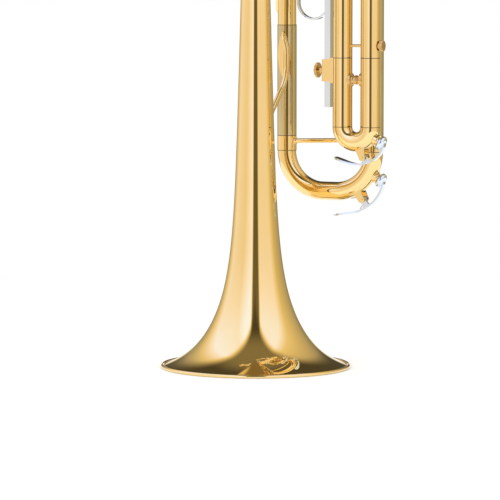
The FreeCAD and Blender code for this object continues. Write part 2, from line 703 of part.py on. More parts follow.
# ---- adjustable finger ring on the third slide ----
def rail_solid(clearance):
    half = RAIL_DEPTH / 2 + clearance
    low = at(RAIL_X[0] - clearance, VALVE_Y - half, RAIL_Z[0])
    return box(low, at(RAIL_X[1] + clearance, VALVE_Y + half, RAIL_Z[1]))


def ring_block():
    half = BLOCK_DEPTH / 2
    block = box(at(BLOCK_X[0], VALVE_Y - half, BLOCK_Z[0]), at(BLOCK_X[1], VALVE_Y + half, BLOCK_Z[1]))
    foot = box(at(BLOCK_FOOT_X[0], VALVE_Y - half - 0.8, BLOCK_Z[0] - 1.0),
               at(BLOCK_FOOT_X[1], VALVE_Y + half + 0.8, BLOCK_Z[1] + 1.0))
    leg_x = THIRD_LEGS_X[0]
    sleeve = rod(at(leg_x, VALVE_Y, THIRD_BOW_Z), at(leg_x, VALVE_Y, THIRD_JOINT_Z), OUTER_TUBE)
    edges = [edge for edge in block.Edges if abs(edge.CenterOfMass.x - BLOCK_X[0]) < 0.01]
    block = block.makeFillet(0.5, edges)
    hole = rod(at(BLOCK_X[0] - 1, VALVE_Y, SCREW_Z), at(RAIL_X[0], VALVE_Y, SCREW_Z), 3.1)
    return block.fuse(foot).cut(sleeve).cut(rail_solid(RAIL_CLEARANCE)).cut(hole)


def finger_ring():
    half = RING_WIDTH / 2
    start = at(RING_X, VALVE_Y - half, RING_Z)
    end = at(RING_X, VALVE_Y + half, RING_Z)
    hoop = pipe(start, end, 2 * RING_RADIUS, 2 * RING_BORE_RADIUS)
    edges = [edge for edge in hoop.Edges if abs(edge.CenterOfMass.y - VALVE_Y) > half - 0.1]
    hoop = hoop.makeFillet(0.45, edges)
    rail = rail_solid(0).cut(rod(start, end, 2 * RING_BORE_RADIUS))
    return hoop.fuse(rail)


def ring_thumb_screw():
    head = knurled(at(SCREW_HEAD_X[0], VALVE_Y, SCREW_Z), X_AXIS, SCREW_HEAD_RADIUS, 0.28,
                   SCREW_HEAD_X[1] - SCREW_HEAD_X[0], 36)
    crown = Part.makeSphere(7.2, at(SCREW_HEAD_X[0] + 5.7, VALVE_Y, SCREW_Z))
    rim = rod(at(SCREW_HEAD_X[0] - 2, VALVE_Y, SCREW_Z), at(SCREW_HEAD_X[1], VALVE_Y, SCREW_Z), 12)
    head = head.common(crown.common(rim))
    neck = rod(at(SCREW_HEAD_X[1] - 0.2, VALVE_Y, SCREW_Z), at(BLOCK_X[0] - JOINT_GAP, VALVE_Y, SCREW_Z), 4.4)
    shank = rod(at(SCREW_HEAD_X[1] - 0.2, VALVE_Y, SCREW_Z), at(RAIL_X[0] - 0.1, VALVE_Y, SCREW_Z), 3.0)
    return head.multiFuse([neck, shank])


# ---- first valve slide, with its thumb saddle ----
def first_slide_outer_tubes():
    low = at(0, VALVE_Y, valve_z(1))
    tubes = valve_slide_tubes(FIRST_LEGS_X, low, at(0, VALVE_Y, FIRST_JOINT_Z), OUTER_TUBE, OUTER_BORE)
    return [tube.cut(casing_solid(1)) for tube in tubes]


def short_slide_tubes(legs, low, high):
    return Part.makeCompound(valve_slide_tubes(legs, low, high, INNER_TUBE, INNER_BORE))


def short_slide_bow(legs, along, joint, bend_at):
    """Semicircular bow with its two ferrules, for a slide that moves in the direction along."""
    radius = (legs[1] - legs[0]) / 2
    start = joint + X_AXIS * legs[0] + along * JOINT_GAP
    turn_at = bend_at + X_AXIS * legs[0]
    middle = bend_at + X_AXIS * (legs[0] + radius)
    bow = bent_pipe(turn_at, along, middle, 180, OUTER_TUBE, INNER_BORE)
    sleeve = pipe(start, turn_at, OUTER_TUBE, INNER_TUBE)
    other = sleeve.copy()
    other.translate(X_AXIS * (2 * radius))
    return bow.multiFuse([sleeve, other])


def thumb_saddle():
    """U-shaped rest for the left thumb, on the upper side of the first slide."""
    z = SADDLE_Z
    radius = 10.5
    floor_x = FIRST_LEGS_X[0] - OUTER_TUBE / 2 - 1.0
    arc = [(floor_x - radius + radius * math.cos(a), z + radius * math.sin(a))
           for a in [math.radians(-90 + 15 * i) for i in range(13)]]
    points = [(floor_x - radius - 8, z - radius - 1.2)] + arc + [(floor_x - radius - 8, z + radius + 1.2)]
    saddle = ribbon(points, 1.6, VALVE_Y - 6, VALVE_Y + 6)
    foot = rod(at(floor_x - 0.5, VALVE_Y, z), at(FIRST_LEGS_X[0], VALVE_Y, z), 8.0)
    leg_start = at(FIRST_LEGS_X[0], VALVE_Y, FIRST_JOINT_Z)
    leg = rod(leg_start, leg_start + Z_AXIS * (FIRST_BOW_Z - FIRST_JOINT_Z), OUTER_TUBE)
    return saddle.fuse(foot).cut(leg)


# ---- second valve slide, with its pull knob ----
def second_slide_outer_tubes():
    z = valve_z(2)
    end = at(0, SECOND_JOINT_Y, z)
    tubes = valve_slide_tubes(SECOND_LEGS_X, at(0, VALVE_Y, z), end, OUTER_TUBE, OUTER_BORE)
    return [tube.cut(casing_solid(2)) for tube in tubes]


def second_slide_bow():
    z = valve_z(2)
    bow = short_slide_bow(SECOND_LEGS_X, Y_AXIS, at(0, SECOND_JOINT_Y, z), at(0, SECOND_BOW_Y, z))
    middle = sum(SECOND_LEGS_X) / 2
    outside = (SECOND_LEGS_X[1] - SECOND_LEGS_X[0]) / 2 + OUTER_TUBE / 2
    knob = lathe(
        at(middle, SECOND_BOW_Y + outside - 1.5, z), Y_AXIS,
        ((0, 0), (0, 2.6)),
        ((0, 2.6), (2.2, 2.2), (4.0, 2.4), (5.2, 4.2)),
        ((5.2, 4.2), (6.2, 4.9), (7.2, 4.4), (7.8, 2.6), (8.0, 0)),
        ((8.0, 0), (0, 0)),
    )
    radius = (SECOND_LEGS_X[1] - SECOND_LEGS_X[0]) / 2
    turn_at = at(SECOND_LEGS_X[0], SECOND_BOW_Y, z)
    airway = bent_rod(turn_at, Y_AXIS, at(SECOND_LEGS_X[0] + radius, SECOND_BOW_Y, z), 180, INNER_BORE)
    return bow.fuse(knob.cut(airway))


# ---- valves ----
def valve_ports(number):
    """Ports through a casing wall: (X, outward direction)."""
    third = [(THIRD_LEGS_X[0], Z_AXIS * -1), (THIRD_LEGS_X[1], Z_AXIS * -1), (LOWER_LEG_X, Y_AXIS),
             (KNUCKLE_32_X, Z_AXIS)]
    second = [(SECOND_LEGS_X[0], Y_AXIS), (SECOND_LEGS_X[1], Y_AXIS), (KNUCKLE_32_X, Z_AXIS * -1),
              (KNUCKLE_21_X, Z_AXIS)]
    first = [(FIRST_LEGS_X[0], Z_AXIS), (FIRST_LEGS_X[1], Z_AXIS), (KNUCKLE_21_X, Z_AXIS * -1),
             (BELL_BRANCH_X, Y_AXIS * -1)]
    return {1: first, 2: second, 3: third}[number]


def valve_casing(number):
    z = valve_z(number)
    casing = casing_solid(number)
    band = rod(at(-20.5, VALVE_Y, z), at(-16, VALVE_Y, z), 2 * CASING_RADIUS + 1.2)
    bore = rod(at(CASING_TOP_X, VALVE_Y, z), at(CASING_BOTTOM_X, VALVE_Y, z), 2 * CASING_BORE_RADIUS)
    casing = casing.fuse(band).cut(bore)
    for x, outward in valve_ports(number):
        axis_point = at(x, VALVE_Y, z)
        casing = casing.cut(rod(axis_point, axis_point + outward * 12, INNER_BORE))
    return casing


def valve_knuckles():
    """The short tubes that join the third casing to the second and the second to the first."""
    tubes = []
    for x, number in ((KNUCKLE_32_X, 3), (KNUCKLE_21_X, 2)):
        low = at(x, VALVE_Y, valve_z(number))
        tube = pipe(low, low + Z_AXIS * VALVE_PITCH, OUTER_TUBE, INNER_BORE)
        tubes.append(tube.cut(casing_solid(number)).cut(casing_solid(number - 1)))
    return Part.makeCompound(tubes)


def piston_passages(number):
    """Wall points of the three airways: open at rest, then the two used when pressed."""
    slide_a, slide_b, inlet, outlet = valve_ports(number)
    pressed = [(x - STROKE, outward) for x, outward in (slide_a, slide_b, inlet, outlet)]
    return ((inlet, outlet), (pressed[2], pressed[0]), (pressed[1], pressed[3]))


def valve_piston(number):
    """Hollow piston: spring barrel on top, ported body below, with three airways through it."""
    z = valve_z(number)
    bottom = at(PISTON_BOTTOM_X, VALVE_Y, z)
    body = rod(at(PISTON_TOP_X, VALVE_Y, z), bottom, 2 * PISTON_RADIUS)
    rooms = ((PISTON_TOP_X + 1.5, PISTON_DECK_X), (PISTON_DECK_X + 1.0, PISTON_BOTTOM_X - 1.0))
    shell = body
    for low, high in rooms:
        shell = shell.cut(rod(at(low, VALVE_Y, z), at(high, VALVE_Y, z), 2 * PISTON_INNER_RADIUS))
    airways = []
    tubes = []
    for (x0, way0), (x1, way1) in piston_passages(number):
        start = at(x0, VALVE_Y, z) + way0 * (PISTON_RADIUS + 3)
        end = at(x1, VALVE_Y, z) + way1 * (PISTON_RADIUS + 3)
        tubes.append(rod(start, end, PASSAGE_TUBE).common(body))
        airways.append(rod(start, end, PASSAGE_BORE))
    piston = shell.multiFuse(tubes)
    for airway in airways:
        piston = piston.cut(airway)
    slot_top = PISTON_DECK_X - STROKE - GUIDE_THICKNESS - 1.0
    half = GUIDE_TAB_WIDTH / 2 + 0.2
    slot = box(at(slot_top, VALVE_Y - 12, z - half), at(PISTON_DECK_X - 0.2, VALVE_Y + 12, z + half))
    stem_hole = rod(at(PISTON_TOP_X - 1, VALVE_Y, z), at(PISTON_TOP_X + 2, VALVE_Y, z), 2 * STEM_RADIUS - 0.8)
    piston = piston.cut(slot).cut(stem_hole)
    return max(piston.Solids, key=lambda solid: solid.Volume)


def valve_stem(number):
    z = valve_z(number)
    thin = STEM_RADIUS - 0.4
    outline = (
        (BUTTON_BOTTOM_X - 4, 0), (BUTTON_BOTTOM_X - 4, 1.6), (BUTTON_BOTTOM_X, 1.6),
        (BUTTON_BOTTOM_X, STEM_RADIUS), (PISTON_TOP_X, STEM_RADIUS), (PISTON_TOP_X, thin),
        (PISTON_TOP_X + 3.5, thin), (PISTON_TOP_X + 3.5, 0),
    )
    return turned(at(0, VALVE_Y, z), X_AXIS, outline)


def finger_button(number):
    """Dished button with a seat for its pearl, screwed on the stem."""
    edge = BUTTON_TOP_X + 0.6
    return lathe(
        at(0, VALVE_Y, valve_z(number)), X_AXIS,
        ((BUTTON_BOTTOM_X, 1.6), (BUTTON_BOTTOM_X, 4.6)),
        ((BUTTON_BOTTOM_X, 4.6), (BUTTON_BOTTOM_X - 2, 4.0)),
        ((BUTTON_BOTTOM_X - 2, 4.0), (BUTTON_BOTTOM_X - 4.5, 4.4), (edge + 3.0, 6.4),
         (edge + 1.6, BUTTON_RADIUS)),
        ((edge + 1.6, BUTTON_RADIUS), (edge, BUTTON_RADIUS)),
        ((edge, BUTTON_RADIUS), (edge, BUTTON_RADIUS - 0.9)),
        ((edge, BUTTON_RADIUS - 0.9), (edge + 1.2, BUTTON_RADIUS - 0.9)),
        ((edge + 1.2, BUTTON_RADIUS - 0.9), (edge + 1.2, 0)),
        ((edge + 1.2, 0), (BUTTON_BOTTOM_X - 4, 0)),
        ((BUTTON_BOTTOM_X - 4, 0), (BUTTON_BOTTOM_X - 4, 1.6)),
        ((BUTTON_BOTTOM_X - 4, 1.6), (BUTTON_BOTTOM_X, 1.6)),
    )


def button_pearl(number):
    edge = BUTTON_TOP_X + 0.6
    radius = BUTTON_RADIUS - 0.9
    return lathe(
        at(0, VALVE_Y, valve_z(number)), X_AXIS,
        ((edge + 1.2, 0), (edge + 1.2, radius)),
        ((edge + 1.2, radius), (edge, radius)),
        ((edge, radius), (edge - 0.35, radius - 1.6), (edge - 0.55, radius - 4.0), (edge - 0.6, 0)),
        ((edge - 0.6, 0), (edge + 1.2, 0)),
    )


def valve_felts(number):
    """Felt washer under the button and cork washer on top of the piston."""
    z = valve_z(number)
    felt = pipe(at(BUTTON_BOTTOM_X, VALVE_Y, z), at(BUTTON_BOTTOM_X + FELT_THICKNESS - 0.1, VALVE_Y, z),
                8.4, 2 * STEM_RADIUS)
    cork_top = at(TOP_CAP_X + CAP_PLATE + 0.1, VALVE_Y, z)
    cork = pipe(cork_top, at(PISTON_TOP_X, VALVE_Y, z), 11.0, 2 * STEM_RADIUS)
    return Part.makeCompound([felt, cork])


def valve_springs():
    top = PISTON_TOP_X + 1.5 + SPRING_WIRE / 2 + 0.05
    length = GUIDE_TOP_X - SPRING_WIRE / 2 - 0.05 - top
    springs = []
    for number in (1, 2, 3):
        base = at(top, VALVE_Y, valve_z(number))
        points = coil_points(base, X_AXIS, length, 360 * SPRING_TURNS, SPRING_RADIUS)
        springs.append(bent_wire(points, SPRING_WIRE))
    return Part.makeCompound(springs)


def valve_guides():
    """Star-shaped guides that stay in the casings and key the pistons through their slots."""
    guides = []
    for number in (1, 2, 3):
        z = valve_z(number)
        start = at(GUIDE_TOP_X, VALVE_Y, z)
        end = at(GUIDE_TOP_X + GUIDE_THICKNESS, VALVE_Y, z)
        wheel = pipe(start, end, 2 * PISTON_INNER_RADIUS - 0.4, 6.0)
        half = GUIDE_TAB_WIDTH / 2
        tabs = box(at(GUIDE_TOP_X, VALVE_Y - CASING_RADIUS, z - half),
                   at(GUIDE_TOP_X + GUIDE_THICKNESS, VALVE_Y + CASING_RADIUS, z + half))
        tabs = tabs.common(pipe(start, end, 2 * CASING_BORE_RADIUS, 2 * PISTON_INNER_RADIUS - 2))
        guides.append(wheel.fuse(tabs))
    return Part.makeCompound(guides)


def cap(number, outside, inside, hole_radius):
    """Screw-on casing cap; outside is its closed end and inside its open end, along X."""
    z = valve_z(number)
    out = 1 if outside > inside else -1
    axis = X_AXIS * out
    depth = abs(outside - inside)
    shell = turned(at(inside, VALVE_Y, z), axis, (
        (0, CASING_RADIUS), (0, CAP_RADIUS - 0.3), (0.8, CAP_RADIUS - 0.3), (depth - 2.6, CAP_RADIUS - 0.3),
        (depth - 1.4, CAP_RADIUS - 1.4), (depth, CAP_RADIUS - 2.6), (depth, hole_radius),
        (depth - CAP_PLATE, hole_radius), (depth - CAP_PLATE, CASING_BORE_RADIUS + 0.1),
        (CAP_SKIRT, CASING_BORE_RADIUS + 0.1), (CAP_SKIRT, CASING_RADIUS)))
    band = knurled(at(inside + out * 2.2, VALVE_Y, z), axis, CAP_RADIUS + 0.2, 0.35, depth - 6.4, 48)
    hollow = rod(at(inside, VALVE_Y, z), at(outside, VALVE_Y, z), 2 * CAP_RADIUS - 1.4)
    return shell.fuse(band.cut(hollow))


def valve_top_caps():
    open_end = CASING_TOP_X + CAP_SKIRT
    return Part.makeCompound([cap(number, TOP_CAP_X, open_end, STEM_RADIUS + 0.1) for number in (1, 2, 3)])


def valve_bottom_caps():
    open_end = CASING_BOTTOM_X - CAP_SKIRT
    return Part.makeCompound([cap(number, BOTTOM_CAP_X, open_end, 1.5) for number in (1, 2, 3)])


# ---- braces and hook ----
def spool_brace(start, end, diameter, flange):
    """A short rod with a round flange at each end."""
    run = end - start
    length = run.Length
    lip = flange / 2
    shank = diameter / 2
    return lathe(
        start, run.normalize(),
        ((0, 0), (0, lip)), ((0, lip), (1.0, lip)), ((1.0, lip), (1.8, shank + 0.4), (3.0, shank)),
        ((3.0, shank), (length - 3.0, shank)),
        ((length - 3.0, shank), (length - 1.8, shank + 0.4), (length - 1.0, lip)),
        ((length - 1.0, lip), (length, lip)), ((length, lip), (length, 0)), ((length, 0), (0, 0)),
    )


def valve_braces():
    """Braces from the outer casings to the bell stem and to the leadpipe."""
    braces = []
    for number in (1, 3):
        z = valve_z(number)
        bell_side = flare_radius(z) - 1.0
        to_bell = spool_brace(at(0, bell_side, z), at(0, VALVE_Y - 8.6, z), 3.6, 8.0)
        braces.append(to_bell.cut(flare_solid(z - 20, z + 20)).cut(casing_solid(number)))
        pipe_solid = rod(at(0, LEADPIPE_Y, z - 20), at(0, LEADPIPE_Y, z + 20), 2 * LEADPIPE_RADIUS)
        stub = rod(at(0, VALVE_Y + 8.0, z), at(0, LEADPIPE_Y - 5.0, z), 6.0)
        braces.append(stub.cut(pipe_solid).cut(casing_solid(number)))
    return Part.makeCompound(braces)


def flare_solid(low, high):
    """The bell stem between two heights, filled in."""
    middle = (low + high) / 2
    return lathe(
        at(0, 0, 0), Z_AXIS,
        ((low, 0), (low, flare_radius(low))),
        ((low, flare_radius(low)), (middle, flare_radius(middle)), (high, flare_radius(high))),
        ((high, flare_radius(high)), (high, 0)), ((high, 0), (low, 0)),
    )


def front_bell_brace():
    """S-shaped brace from a leaf on the upper slide tube to the back of the bell."""
    facing = at(0.0872, -0.9962, 0)
    route = [
        at(1.1, 42.0, 211), at(3.4, 41.4, 204.5), at(3.6, 40.6, 192), at(2.9, 39.0, 183),
        at(1.0, 20.0, 162), at(0, 13.6, 146),
    ]
    upward = (route[0] - route[1]).normalize()
    radius = S_BRACE_DIAMETER / 2
    tip = Part.makeCone(radius, 0.3, 5.0, route[0], upward)
    brace = wire_rod(route, 20.0, S_BRACE_DIAMETER)
    tube = rod(at(0, LEADPIPE_Y, TUNING_JOINT_Z), at(0, LEADPIPE_Y, SLIDE_TUBE_TOP_Z), OUTER_TUBE)
    bell_foot = leaf_pad(at(0, 0, 151), Z_AXIS, Y_AXIS, 26, 8.5, 11.9, 1.1)
    tube_foot = leaf_pad(at(0, LEADPIPE_Y, 201), Z_AXIS, facing, 31, 8.2, OUTER_TUBE / 2, 1.2)
    brace = brace.multiFuse([bell_foot, tube_foot, tip])
    return largest(brace.cut(tube).cut(flare_solid(110, 215)))


def largest(shape):
    return max(shape.Solids, key=lambda solid: solid.Volume)


def rear_bell_brace():
    """The same brace near the bell bow, from the leadpipe to the bell stem."""
    stem = rod(at(0, 0, STEM_TOP_Z), at(0, 0, BELL_BOW_Z + 8), BELL_TUBE)
    pipe_radius = receiver_outline(396)
    route = [
        at(0, LEADPIPE_Y - 6.6, 408), at(0, LEADPIPE_Y - 8.0, 393), at(0, 28, 381),
        at(0, 12.5, 370), at(0, 7.6, 357),
    ]
    brace = wire_rod(route, 12.0, S_BRACE_DIAMETER)
    stem_foot = leaf_pad(at(0, 0, 363), Z_AXIS, Y_AXIS, 24, 7.5, BELL_TUBE / 2, 1.0)
    pipe_foot = leaf_pad(at(0, LEADPIPE_Y, 399), Z_AXIS, Y_AXIS * -1, 26, 7.0, pipe_radius - 0.1, 1.1)
    return largest(brace.multiFuse([stem_foot, pipe_foot]).cut(stem).cut(leadpipe_solid()))


def leadpipe_solid():
    outline = (
        (LEADPIPE_FRONT_Z, 0), (LEADPIPE_FRONT_Z, LEADPIPE_RADIUS), (LEADPIPE_TAPER_Z, LEADPIPE_RADIUS),
        (LEADPIPE_REAR_Z, LEADPIPE_REAR_RADIUS), (LEADPIPE_REAR_Z, 0),
    )
    return turned(at(0, LEADPIPE_Y, 0), Z_AXIS, outline)


def pinky_hook():
    """Open hook for the right little finger, on the upper side of the leadpipe."""
    radius = 10.0
    middle = (-LEADPIPE_RADIUS - radius - 1.6, 252.0)
    arc = [(middle[0] + radius * math.cos(a), middle[1] + radius * math.sin(a))
           for a in [math.radians(-10 - 17 * i) for i in range(12)]]
    hook = ribbon(arc, 2.2, LEADPIPE_Y - 4, LEADPIPE_Y + 4)
    foot = leaf_pad(at(0, LEADPIPE_Y, 248), Z_AXIS, X_AXIS * -1, 40, 9.0, LEADPIPE_RADIUS, 1.4)
    root = box(at(-9.2, LEADPIPE_Y - 2.2, 240), at(-5, LEADPIPE_Y + 2.2, 256))
    gap_start = at(middle[0], LEADPIPE_Y - 6, middle[1])
    gap = rod(gap_start, gap_start + Y_AXIS * 12, 2 * radius - 2.2)
    return hook.multiFuse([foot, root.cut(gap)]).cut(leadpipe_solid())


# ---- write every piece ----
main_bow = tuning_bow_solid(BOW_TUBE)
third_bow = third_bow_solid(OUTER_TUBE)
main_key = (main_key_centre(), TUNING_BEND_RADIUS)
third_key = (third_key_centre(), third_bend_radius())

save("bell", bell())
save("valve_elbows", Part.makeCompound([bell_elbow(), lower_slide_elbow()]))
save("bell_ferrule", bell_ferrule())
save("leadpipe", leadpipe())
save("mouthpiece_receiver", mouthpiece_receiver())
save("mouthpiece", mouthpiece())
save("tuning_slide_outer_tubes", tuning_slide_outer_tubes())
save("tuning_slide_tubes", tuning_slide_tubes())
save("tuning_slide_bow", tuning_slide_bow())
save("tuning_slide_ferrules", tuning_slide_ferrules())
save("tuning_slide_brace", tuning_slide_brace())
save("main_water_key_seat", water_key_seat(*main_key, main_bow, MAIN_HINGE))
save("main_water_key_lever", water_key_lever(*main_key, BOW_TUBE / 2, MAIN_HINGE, MAIN_LEVER))
save("main_water_key_cork", water_key_cork(*main_key, BOW_TUBE / 2))
save("main_water_key_spring", water_key_spring(LEADPIPE_Y, MAIN_HINGE, *MAIN_SPRING_ENDS))
save("third_slide_outer_tubes", third_slide_outer_tubes())
save("third_slide_tubes", third_slide_tubes())
save("third_slide_sleeves", third_slide_sleeves())
save("third_slide_bow", third_slide_bow())
save("third_slide_brace", third_slide_brace())
save("third_slide_stop", third_slide_stop())
save("third_water_key_seat", water_key_seat(*third_key, third_bow, THIRD_HINGE))
save("third_water_key_lever", water_key_lever(*third_key, OUTER_TUBE / 2, THIRD_HINGE, THIRD_LEVER))
save("third_water_key_cork", water_key_cork(*third_key, OUTER_TUBE / 2))
save("third_water_key_spring", water_key_spring(VALVE_Y, THIRD_HINGE, *THIRD_SPRING_ENDS))
save("ring_block", ring_block())
save("finger_ring", finger_ring())
save("ring_thumb_screw", ring_thumb_screw())
save("short_slide_outer_tubes", Part.makeCompound(first_slide_outer_tubes() + second_slide_outer_tubes()))
save("first_slide_tubes", short_slide_tubes(
    FIRST_LEGS_X, at(0, VALVE_Y, valve_z(1) + CASING_RADIUS + 0.3), at(0, VALVE_Y, FIRST_BOW_Z)))
save("first_slide_bow", short_slide_bow(
    FIRST_LEGS_X, Z_AXIS, at(0, VALVE_Y, FIRST_JOINT_Z), at(0, VALVE_Y, FIRST_BOW_Z)))
save("thumb_saddle", thumb_saddle())
save("second_slide_tubes", short_slide_tubes(
    SECOND_LEGS_X, at(0, VALVE_Y + CASING_RADIUS + 0.3, valve_z(2)), at(0, SECOND_BOW_Y, valve_z(2))))
save("second_slide_bow", second_slide_bow())
save("valve_knuckles", valve_knuckles())
save("valve_top_caps", valve_top_caps())
save("valve_bottom_caps", valve_bottom_caps())
save("valve_springs", valve_springs())
save("valve_guides", valve_guides())
save("valve_braces", valve_braces())
save("bell_braces", Part.makeCompound([front_bell_brace(), rear_bell_brace()]))
save("pinky_hook", pinky_hook())
for number in (1, 2, 3):
    tail = "_" + str(number)
    save("valve_casing" + tail, valve_casing(number))
    save("valve_piston" + tail, valve_piston(number))
    save("valve_stem" + tail, valve_stem(number))
    save("finger_button" + tail, finger_button(number))
    save("button_pearl" + tail, button_pearl(number))
    save("valve_felts" + tail, valve_felts(number))
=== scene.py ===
import math

import bpy
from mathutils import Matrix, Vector


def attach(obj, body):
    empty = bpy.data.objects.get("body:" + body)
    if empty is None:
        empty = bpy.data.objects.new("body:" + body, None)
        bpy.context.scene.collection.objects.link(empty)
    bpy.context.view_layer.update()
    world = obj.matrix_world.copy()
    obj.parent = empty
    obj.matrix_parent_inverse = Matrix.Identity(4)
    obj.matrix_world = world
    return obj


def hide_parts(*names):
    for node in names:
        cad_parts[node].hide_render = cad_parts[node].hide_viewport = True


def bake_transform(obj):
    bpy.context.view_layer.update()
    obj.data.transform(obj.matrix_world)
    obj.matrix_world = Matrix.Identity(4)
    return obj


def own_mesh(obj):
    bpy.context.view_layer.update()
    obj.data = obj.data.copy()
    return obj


# Gold-lacquered trumpet standing on its bell, in a white studio.  Metres, in the CAD frame.

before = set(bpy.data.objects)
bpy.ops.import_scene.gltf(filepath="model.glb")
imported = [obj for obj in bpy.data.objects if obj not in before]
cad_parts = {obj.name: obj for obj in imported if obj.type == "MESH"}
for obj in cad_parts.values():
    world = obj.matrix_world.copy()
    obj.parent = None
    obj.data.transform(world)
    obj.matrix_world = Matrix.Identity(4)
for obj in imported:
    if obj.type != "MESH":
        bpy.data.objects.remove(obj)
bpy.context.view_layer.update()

CAMERA_AZIMUTH = 25.0
CAMERA_DISTANCE = 2.021
CAMERA_HEIGHT = 0.2496
CAMERA_AIM = 0.0759
CAMERA_SIDE = -0.0036
CAMERA_LENS = 226.2

FLOOR_RADIUS = 0.62
FLOOR_SIDES = 128
LIGHT_SIZE = (1.6, 1.2)
LIGHT_POWER = 6.0
LIGHT_AZIMUTH = -50.0
LIGHT_DISTANCE = 1.8
LIGHT_HEIGHT = 1.7
LIGHT_TARGET = 0.2

WORLD_STRENGTH = 2.0
DAYLIGHT = (0.56, 0.56, 0.56)
PAPER_WHITE = (0.5, 0.5, 0.5)
LEFT_PANEL = (-82.0, 2.75)
RIGHT_PANEL = (78.0, 2.6)
PANEL_SOFTNESS = 0.28
HORIZON_LEVEL = 0.6
# brightness of the walls by degrees round from the camera's side: a panel on each hand, a dark gap
# between them behind the camera, and a dim back
WALL_LEVELS = (
    (-180, 0.15), (-155, 0.3), (-115, 0.75), (-55, 0.65), (-16, 0.9), (-10, 0.1),
    (10, 0.1), (15, 0.7), (70, 0.7), (95, 0.45), (140, 0.3), (165, 0.15),
)
# half the light's colour by brightness: warm where it is dim and cool where it is bright
STUDIO_TINTS = (
    (0.0, (0.0, 0.0, 0.0)),
    (0.5, (0.42, 0.35, 0.2)),
    (0.7, (0.5, 0.48, 0.55)),
    (0.9, (0.5, 0.6, 1.0)),
)

# pieces given a darker, rougher brass; on the stop its darkness is painted shade, for the shadow round
# its knurling
DARKENED_NODES = ("ring_thumb_screw", "third_slide_brace", "third_slide_stop")
SOFT_EDGED_NODES = ("main_water_key_lever", "third_water_key_lever", "finger_ring")
SOFT_EDGE = 0.00025

BELL_WALL = 0.0006
FLARE_BASE = 0.01595
FLARE_TAPER = 0.0268
FLARE_WIDE = (0.0378, 0.028)
FLARE_LIP = (0.01, 0.005)
FLARE_START = 0.00153
FLARE_CROWDING = 2.2
BELL_SIDES = 144
FLARE_RINGS = 60
BOW_RINGS = 36
STEM_TOP = 0.35
BELL_TUBE_RADIUS = 0.00655
BELL_BORE_RADIUS = 0.006
BOW_HEIGHT = 0.377
BRANCH_END = 0.336
BRANCH = Vector((0.062, 0.011, 0.0))
BEAD_RADIUS = 0.00125
BEAD_CENTRE = (0.06025, 0.0011)

VALVE_HEIGHTS = {"1": 0.31, "2": 0.286, "3": 0.262}
VALVE_PITCH = 0.024
# node, the slide and the key it joins, and where along it the bend starts and ends
KEY_SPRINGS = (
    ("main_water_key_spring", "main_tuning_slide", "main_water_key",
     (0.0547, 0.05, 0.1056), (0.0528, 0.05, 0.1023)),
    ("third_water_key_spring", "third_slide", "third_water_key",
     (0.0632, 0.031, 0.1341), (0.0615, 0.031, 0.1327)),
)

SEAM_HEIGHT = 0.00045
SEAM_PROUD = 0.00003
SEAM_SIDES = 64
# tube ends by body: x, y, height and tube radius
SEAMS = {
    "trumpet_body": ((0.0, 0.049, 0.2205, 0.00635),),
    "main_tuning_slide": (
        (0.0, 0.049, 0.1481, 0.00635), (0.0619, 0.049, 0.1481, 0.00635),
        (0.0, 0.049, 0.1384, 0.00635), (0.0619, 0.049, 0.1384, 0.00635),
    ),
    "third_slide": (
        (0.0479, 0.03, 0.1998, 0.00635), (0.0673, 0.03, 0.1998, 0.00635),
        (0.0479, 0.03, 0.1554, 0.00635), (0.0673, 0.03, 0.1554, 0.00635),
    ),
}


# ---- node helpers ----
def new_material(name):
    material = bpy.data.materials.new(name)
    material.use_nodes = True
    tree = material.node_tree
    shader = tree.nodes["Principled BSDF"]
    return material, tree, shader


def noise(tree, scale, detail=3.0, stretch=(1.0, 1.0, 1.0), roughness=0.5):
    """Noise in object space; stretch scales the coordinates first, so it draws the pattern out."""
    place = tree.nodes.new("ShaderNodeTexCoord")
    mapping = tree.nodes.new("ShaderNodeMapping")
    mapping.inputs["Scale"].default_value = stretch
    texture = tree.nodes.new("ShaderNodeTexNoise")
    texture.inputs["Scale"].default_value = scale
    texture.inputs["Detail"].default_value = detail
    texture.inputs["Roughness"].default_value = roughness
    tree.links.new(place.outputs["Object"], mapping.inputs["Vector"])
    tree.links.new(mapping.outputs["Vector"], texture.inputs["Vector"])
    return texture.outputs["Fac"]


def ramp(tree, source, *stops):
    """Colour ramp with (place, colour) stops."""
    node = tree.nodes.new("ShaderNodeValToRGB")
    elements = node.color_ramp.elements
    while len(elements) < len(stops):
        elements.new(0.5)
    for element, (place, colour) in zip(elements, stops):
        element.position = place
        element.color = (*colour, 1.0) if hasattr(colour, "__len__") else (colour, colour, colour, 1.0)
    tree.links.new(source, node.inputs["Fac"])
    return node.outputs["Color"]


def map_range(tree, source, low, high, out_low, out_high):
    node = tree.nodes.new("ShaderNodeMapRange")
    node.interpolation_type = "SMOOTHSTEP"
    values = (low, high, out_low, out_high)
    for name, value in zip(("From Min", "From Max", "To Min", "To Max"), values):
        node.inputs[name].default_value = value
    tree.links.new(source, node.inputs["Value"])
    return node.outputs["Result"]


def math_node(tree, operation, first, second=None):
    node = tree.nodes.new("ShaderNodeMath")
    node.operation = operation
    for socket, value in zip(node.inputs, (first, second)):
        if value is None:
            continue
        if isinstance(value, (int, float)):
            socket.default_value = value
        else:
            tree.links.new(value, socket)
    return node.outputs["Value"]


def bump(tree, shader, height, strength, distance):
    node = tree.nodes.new("ShaderNodeBump")
    node.inputs["Strength"].default_value = strength
    node.inputs["Distance"].default_value = distance
    tree.links.new(height, node.inputs["Height"])
    tree.links.new(node.outputs["Normal"], shader.inputs["Normal"])


